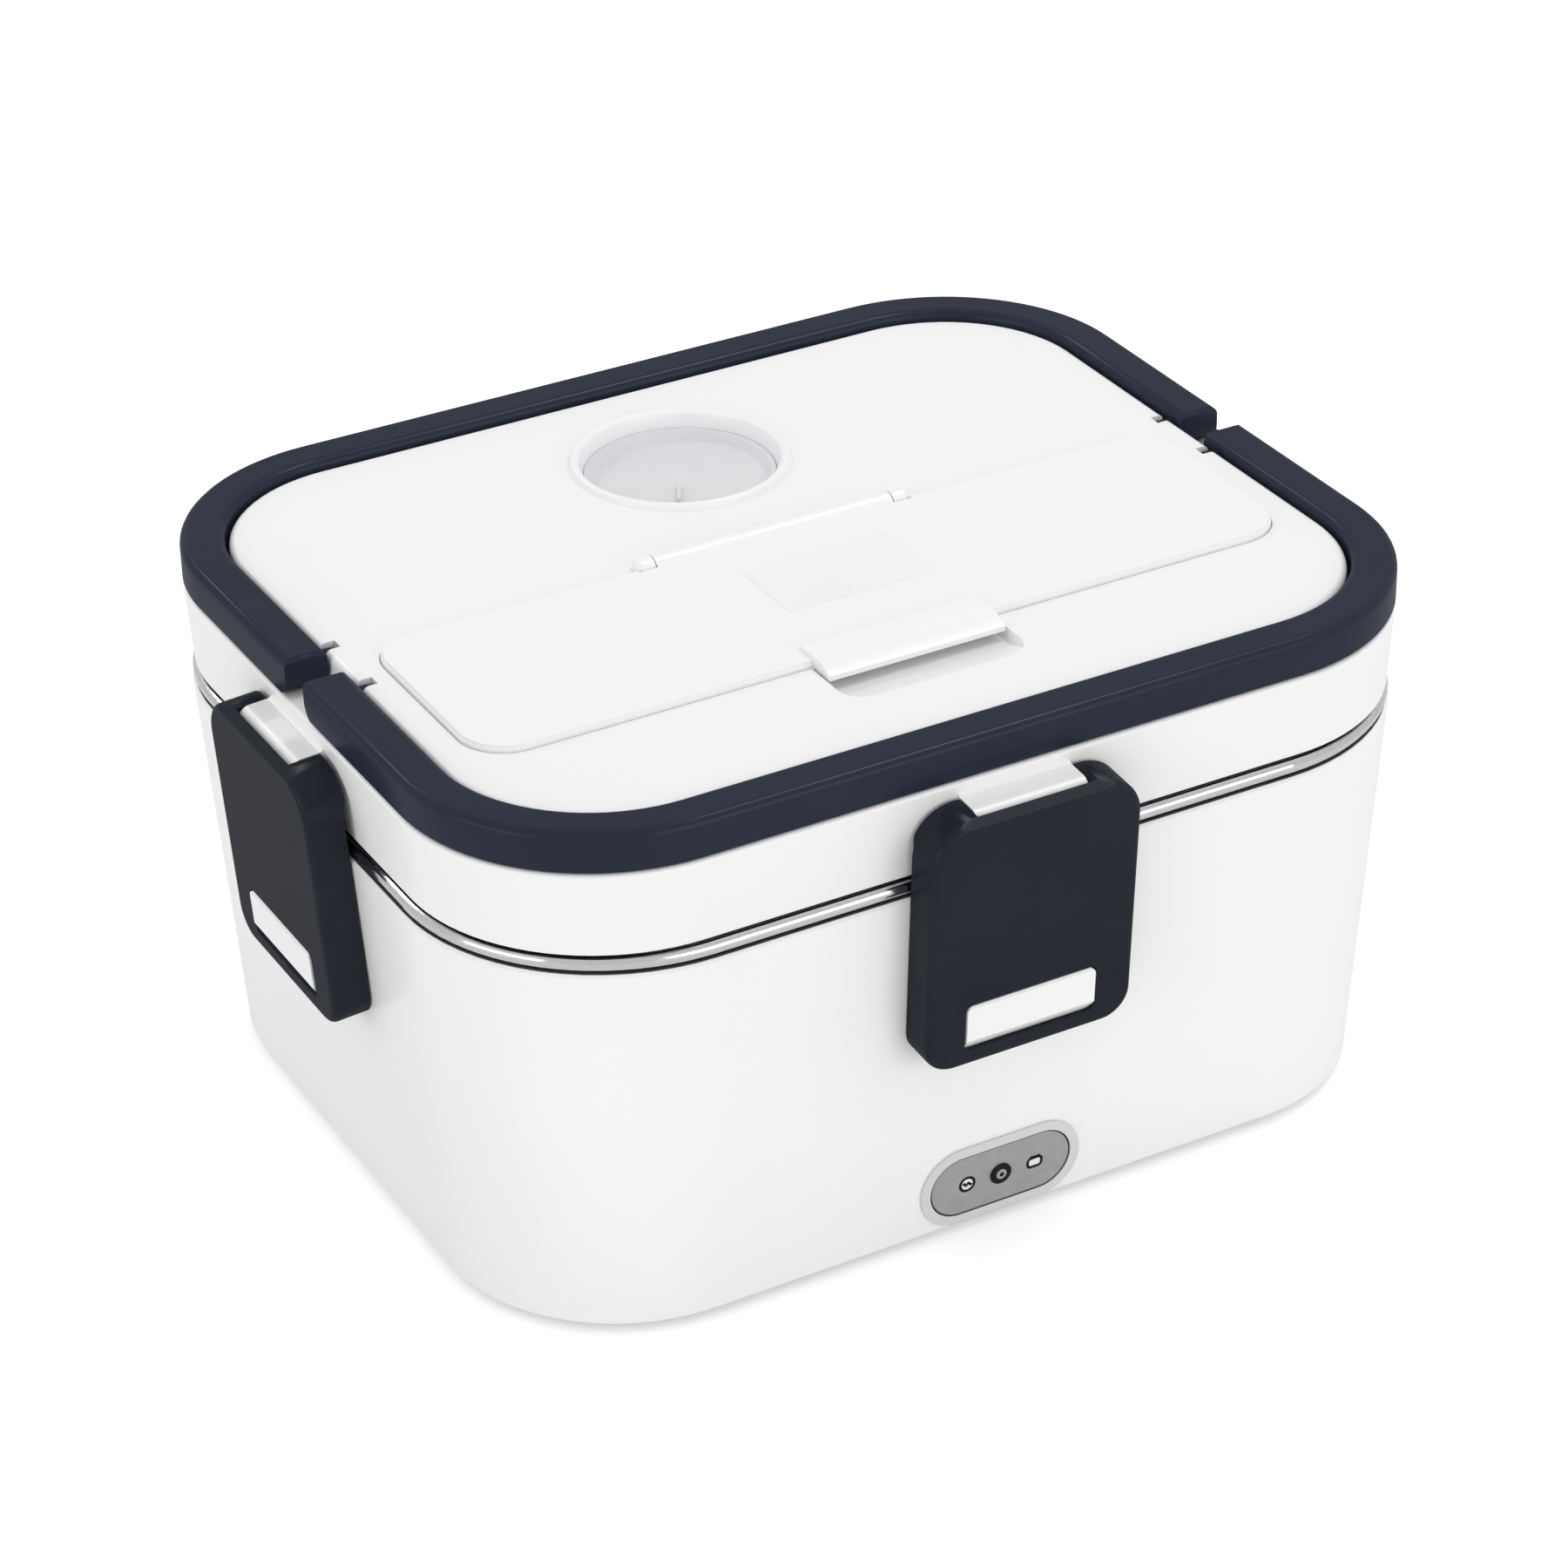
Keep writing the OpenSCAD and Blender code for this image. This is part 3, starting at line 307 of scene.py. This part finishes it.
def rim_ring(name, centres, radius, z, section, mat, body):
    """A strip that runs round the box; section is (outward, up) points in millimetres."""
    bm = bmesh.new()
    rings = []
    for at, out in rounded_path(centres.x, centres.y, radius):
        rings.append([Vector((at.x + o * out.x, at.y + o * out.y, z + u)) * MM
                      for o, u in section])
    loft(bm, rings)
    return new_piece(name, bm, mat, body)


def round_section(width, height, steps=10):
    """An oval strip section that stands on z = 0."""
    return [(width / 2 * math.cos(a), height / 2 + height / 2 * math.sin(a))
            for a in (2 * math.pi * i / steps for i in range(steps))]


# Painted shade: sizes of the black strips that darken the seam above and below the pot's steel bead
SKIRT_SHADE_RADIUS, SKIRT_SHADE_DROP, SKIRT_SHADE_SECTION = 43.2, 0.5, (1.8, 0.62)
RIM_SHADE_RADIUS, RIM_SHADE_SECTION = 46.75, (0.95, 0.45)


def make_seam_shade_strips():
    """Black strips that paint the shade in the seam: one under the lid's skirt, one on top of the
    base's rim.
    """
    rim_ring("skirt_shade_strip", LID_CENTRES, SKIRT_SHADE_RADIUS, SKIRT_Z - SKIRT_SHADE_DROP,
             round_section(*SKIRT_SHADE_SECTION), MATS["rubber"], "lid")
    rim_ring("rim_shade_strip", BASE_CENTRES, RIM_SHADE_RADIUS, RIM_Z,
             round_section(*RIM_SHADE_SECTION), MATS["rubber"], "base")


# ---------------------------------------- control panel
def panel_frame():
    """The plate's face, in metres: x to the right, y up along the leaning wall, z out of it."""
    low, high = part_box("panel_plate")
    low, high = Vector(low), Vector(high)
    half = (high.z - low.z) / 2
    out = Vector((0, -math.cos(LEAN), -math.sin(LEAN)))
    up = Vector((0, -math.sin(LEAN), math.cos(LEAN)))
    at = Vector(((low.x + high.x) / 2, low.y + half * math.tan(LEAN), (low.z + high.z) / 2))
    turn = Matrix((Vector((1, 0, 0)), up, out)).transposed().to_4x4()
    return Matrix.Translation(at) @ turn


INK_T = 0.06                          # thickness of the black printing
FIELD_T = 0.03                        # thickness of the pale printing inside the icons
INK_ROOT = -0.02                      # how far the printing reaches into the plate


def ribbon(bm, line, width, place, closed=False, high=INK_T):
    """A flat printed line with a slightly crowned top, along points in the plate's plane."""
    points = [Vector(p) for p in line]
    count = len(points)
    rings = []
    for i, p in enumerate(points):
        before = points[i - 1] if (i or closed) else p
        after = points[(i + 1) % count] if (i < count - 1 or closed) else p
        along = (after - before).normalized()
        side = Vector((-along.y, along.x))
        across = [(-0.5, INK_ROOT), (-0.5, high * 0.6), (-0.3, high),
                  (0.3, high), (0.5, high * 0.6), (0.5, INK_ROOT)]
        rings.append([place @ (Vector((*(p + side * width * s), h)) * MM) for s, h in across])
    loft(bm, rings, closed_ends=not closed)


def circle(cx, r, steps=40):
    return [(cx + r * math.cos(a), r * math.sin(a))
            for a in (2 * math.pi * i / steps for i in range(steps))]


def level_line(cx, y, half, steps=20):
    """Points along a level line about cx."""
    return [(cx - half + 2 * half / steps * i, y) for i in range(steps + 1)]


def stadium_line(w, h, steps=20):
    r = h / 2
    right = [(w / 2 - r + r * math.cos(a), r * math.sin(a))
             for a in (math.pi * (i / steps - 0.5) for i in range(steps + 1))]
    left = [(-x, -y) for x, y in right]
    return right + left


def rounded_box(cx, cy, w, h, r, steps=5):
    points = []
    for q, (sx, sy) in enumerate(((1, 1), (-1, 1), (-1, -1), (1, -1))):
        for i in range(steps + 1):
            a = math.radians(90 * q + 90 * i / steps)
            points.append((cx + sx * (w / 2 - r) + r * math.cos(a),
                           cy + sy * (h / 2 - r) + r * math.sin(a)))
    return points


HEAT_X, BOX_X, BOX_Y = -8.4, 8.7, -0.2   # where the two icons stand on the plate
ICON_LINE = 0.66
HEAT_R, WAVE_HALF, WAVE_HIGH, WAVE_LINE, WAVE_STEPS = 1.75, 1.1, 0.36, 0.55, 14
BOX_W, BOX_H, BOX_R = 3.5, 2.4, 0.9
BOX_LID_Y, BOX_LID_HALF, BOX_LID_LINE = 1.15, 1.3, 0.85
BOX_FIELD_HALF, BOX_FIELD_LINE = 1.4, 1.7
HEAT_FIELD = [(0.001, INK_ROOT), (0.001, FIELD_T), (1.5, FIELD_T), (1.52, INK_ROOT)]


def make_panel_print():
    """The plate's outline, a heat icon to the left of the lamp and a lunch box to its right."""
    place = panel_frame()
    low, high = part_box("panel_plate")
    plate_w, plate_h = (high[0] - low[0]) / MM, (high[2] - low[2]) / MM
    bm = bmesh.new()
    ribbon(bm, stadium_line(plate_w - 0.2, plate_h - 0.2), 0.28, place, closed=True)
    new_piece("plate_outline", bm, MATS["ink"], "base")

    heat = bmesh.new()
    ribbon(heat, circle(HEAT_X, HEAT_R), ICON_LINE, place, closed=True)
    wave = [(HEAT_X + WAVE_HALF * (t / WAVE_STEPS - 1),
             WAVE_HIGH * math.sin(t / WAVE_STEPS * 2 * math.pi)) for t in range(2 * WAVE_STEPS + 1)]
    ribbon(heat, wave, WAVE_LINE, place)
    new_piece("heat_icon", heat, MATS["ink"], "base")

    box = bmesh.new()
    ribbon(box, rounded_box(BOX_X, BOX_Y, BOX_W, BOX_H, BOX_R), ICON_LINE, place, closed=True)
    ribbon(box, level_line(BOX_X, BOX_LID_Y, BOX_LID_HALF), BOX_LID_LINE, place)
    new_piece("box_icon", box, MATS["ink"], "base")

    fields = bmesh.new()
    lathe(fields, HEAT_FIELD, place @ Matrix.Translation((HEAT_X * MM, 0, 0)))
    ribbon(fields, level_line(BOX_X, BOX_Y, BOX_FIELD_HALF), BOX_FIELD_LINE, place, high=FIELD_T)
    new_piece("icon_fields", fields, MATS["pale_ink"], "base")


def lathe(bm, profile, place, steps=40):
    """Turns (radius, height) points round the plate's z axis."""
    rings = []
    for i in range(steps):
        a = 2 * math.pi * i / steps
        rings.append([place @ (Vector((r * math.cos(a), r * math.sin(a), h)) * MM)
                      for r, h in profile])
    loft(bm, rings)
    bmesh.ops.remove_doubles(bm, verts=bm.verts, dist=1e-7)


LAMP_FACE = [(0.001, 0.42), (0.001, 0.62), (0.5, 0.64), (1.1, 0.62), (1.28, 0.55), (1.3, 0.42)]
LAMP_DOT = [(0.001, 0.6), (0.001, 0.72), (0.35, 0.71), (0.56, 0.66), (0.6, 0.6)]


def make_lamp():
    """The lamp's silver face inside its black ring, with a black dot in the middle."""
    place = panel_frame()
    for name, profile, mat in (("lamp_window", LAMP_FACE, "silver"),
                               ("lamp_dot", LAMP_DOT, "black")):
        bm = bmesh.new()
        lathe(bm, profile, place)
        new_piece(name, bm, MATS[mat], "base")


# ---------------------------------------- floor and light
FLOOR_GLOW = 0.36                     # added for the camera only, so that the floor reads white
AMBIENT = 0.78
LIT_POINT = Vector((0, 0, 0.09))      # the lamps look here, in metres
SOFTBOXES = (                         # name, direction it stands in, distance, size, radiance
    ("top_box", (0.42, 0.0, 0.90), 1.3, (0.22, 0.22), 17),
    ("back_box", (-0.18, 0.77, 0.61), 1.5, (0.22, 0.22), 11),
    ("front_box", (0.25, -1.0, 0.22), 1.4, (0.9, 0.6), 2.0),
    ("left_box", (-1.0, -0.2, 0.22), 1.4, (0.9, 0.6), 1.6),
)


def make_floor():
    bpy.ops.mesh.primitive_plane_add(size=12)
    floor = bpy.context.object
    floor.name = "floor"
    made = Finish("floor")
    made.colour(made.noise(3), srgb(236), srgb(240))
    made.spread(made.noise(30), "Roughness", 0.75, 0.85)
    path = made.node("LightPath")
    glow = made.node("Emission")
    glow.inputs["Strength"].default_value = FLOOR_GLOW
    both = made.node("AddShader")
    made.join(made.shader, both, 0)
    made.join(glow, both, 1)
    pick = made.node("MixShader")
    made.join(path, pick, 0, "Is Camera Ray")
    made.join(made.shader, pick, 1)
    made.join(both, pick, 2)
    made.join(pick, made.tree.nodes["Material Output"], "Surface")
    floor.data.materials.append(made.mat)


def softbox(name, aim_from, distance, size, radiance):
    """A lamp that looks at the box; radiance is how bright its face is seen in gloss."""
    data = bpy.data.lights.new(name, "AREA")
    data.shape = "RECTANGLE"
    data.size, data.size_y = size
    data.energy = radiance * math.pi * size[0] * size[1]
    lamp = bpy.data.objects.new(name, data)
    lamp.location = LIT_POINT + Vector(aim_from).normalized() * distance
    lamp.rotation_euler = (LIT_POINT - lamp.location).to_track_quat("-Z", "Y").to_euler()
    bpy.context.scene.collection.objects.link(lamp)


def make_light():
    world = bpy.data.worlds.new("studio")
    world.use_nodes = True
    bpy.context.scene.world = world
    tree = world.node_tree
    ambient = tree.nodes["Background"]
    ambient.inputs["Color"].default_value = (1, 1, 1, 1)
    ambient.inputs["Strength"].default_value = AMBIENT
    seen = tree.nodes.new("ShaderNodeBackground")
    seen.inputs["Strength"].default_value = 1.0
    seen.inputs["Color"].default_value = (1, 1, 1, 1)
    path = tree.nodes.new("ShaderNodeLightPath")
    pick = tree.nodes.new("ShaderNodeMixShader")
    tree.links.new(path.outputs["Is Camera Ray"], pick.inputs[0])
    tree.links.new(ambient.outputs[0], pick.inputs[1])
    tree.links.new(seen.outputs[0], pick.inputs[2])
    tree.links.new(pick.outputs[0], tree.nodes["World Output"].inputs["Surface"])
    for box in SOFTBOXES:
        softbox(*box)
    bpy.context.scene.view_settings.view_transform = "Standard"


make_camera()
make_materials()
for node_name in ("lid_shell", "outer_shell"):
    soften(node_name, 0.4 * MM)
for node_name in ("cutlery_cover", "panel_bezel"):
    soften(node_name, 0.25 * MM)
for node_name in ("front_handle", "rear_handle"):
    soften(node_name, 0.9 * MM, angle=60, segments=3)
for node_name in LATCHES:
    soften(node_name, 0.35 * MM)
make_seam_shade_strips()
make_panel_print()
make_lamp()
make_floor()
make_light()
